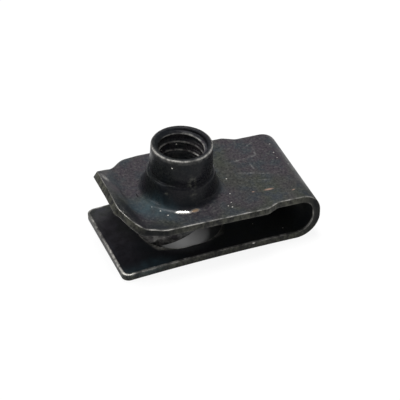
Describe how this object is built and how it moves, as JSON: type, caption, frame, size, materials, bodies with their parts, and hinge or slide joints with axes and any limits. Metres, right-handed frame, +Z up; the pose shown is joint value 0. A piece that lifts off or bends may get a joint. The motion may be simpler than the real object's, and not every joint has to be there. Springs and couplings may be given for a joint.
{
  "type": "clip-on threaded nut",
  "caption": "Folded spring steel clip nut with a drawn threaded barrel, a turned-up lip and a snap-in ring in its lower leg.",
  "frame": {"origin": "on the surface that the lower leg rests on, under the middle of the nut's length and width", "axes": "+X from the open mouth towards the fold, +Y across the legs, +Z up towards the barrel's mouth"},
  "size_m": [0.027, 0.016, 0.0141],
  "materials": {
    "steel": "black phosphate and oil on spring steel, satin"
  },
  "bodies": {
    "root": {"clip_nut": "steel"}
  },
  "joints": []
}
